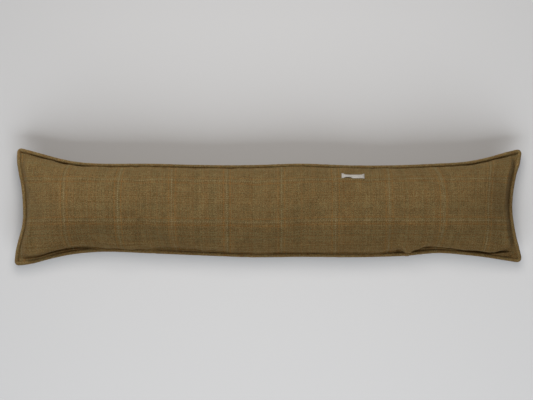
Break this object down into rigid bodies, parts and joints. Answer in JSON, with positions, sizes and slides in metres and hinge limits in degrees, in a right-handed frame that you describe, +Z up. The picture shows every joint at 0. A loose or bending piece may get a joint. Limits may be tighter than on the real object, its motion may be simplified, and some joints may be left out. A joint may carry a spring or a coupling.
{
  "type": "draught excluder",
  "caption": "Long stuffed tweed cushion with drawn-in sides, pointed corners and a piped edge, lying on its back to block the gap under a door.",
  "frame": {"origin": "on the floor, under the middle of the cushion's outline seen from above", "axes": "+X along the length, +Y towards the long edge that the label is near, +Z up out of the face panel"},
  "size_m": [0.9046, 0.2101, 0.1034],
  "materials": {
    "tweed": "woven wool, olive and brown heather with a windowpane check",
    "piping_tweed": "the same woven wool, cut on the bias round a cord",
    "label_tape": "thin white woven tape, matt"
  },
  "bodies": {
    "root": {"cushion": "tweed", "piping": "piping_tweed", "label": "label_tape"}
  },
  "joints": []
}
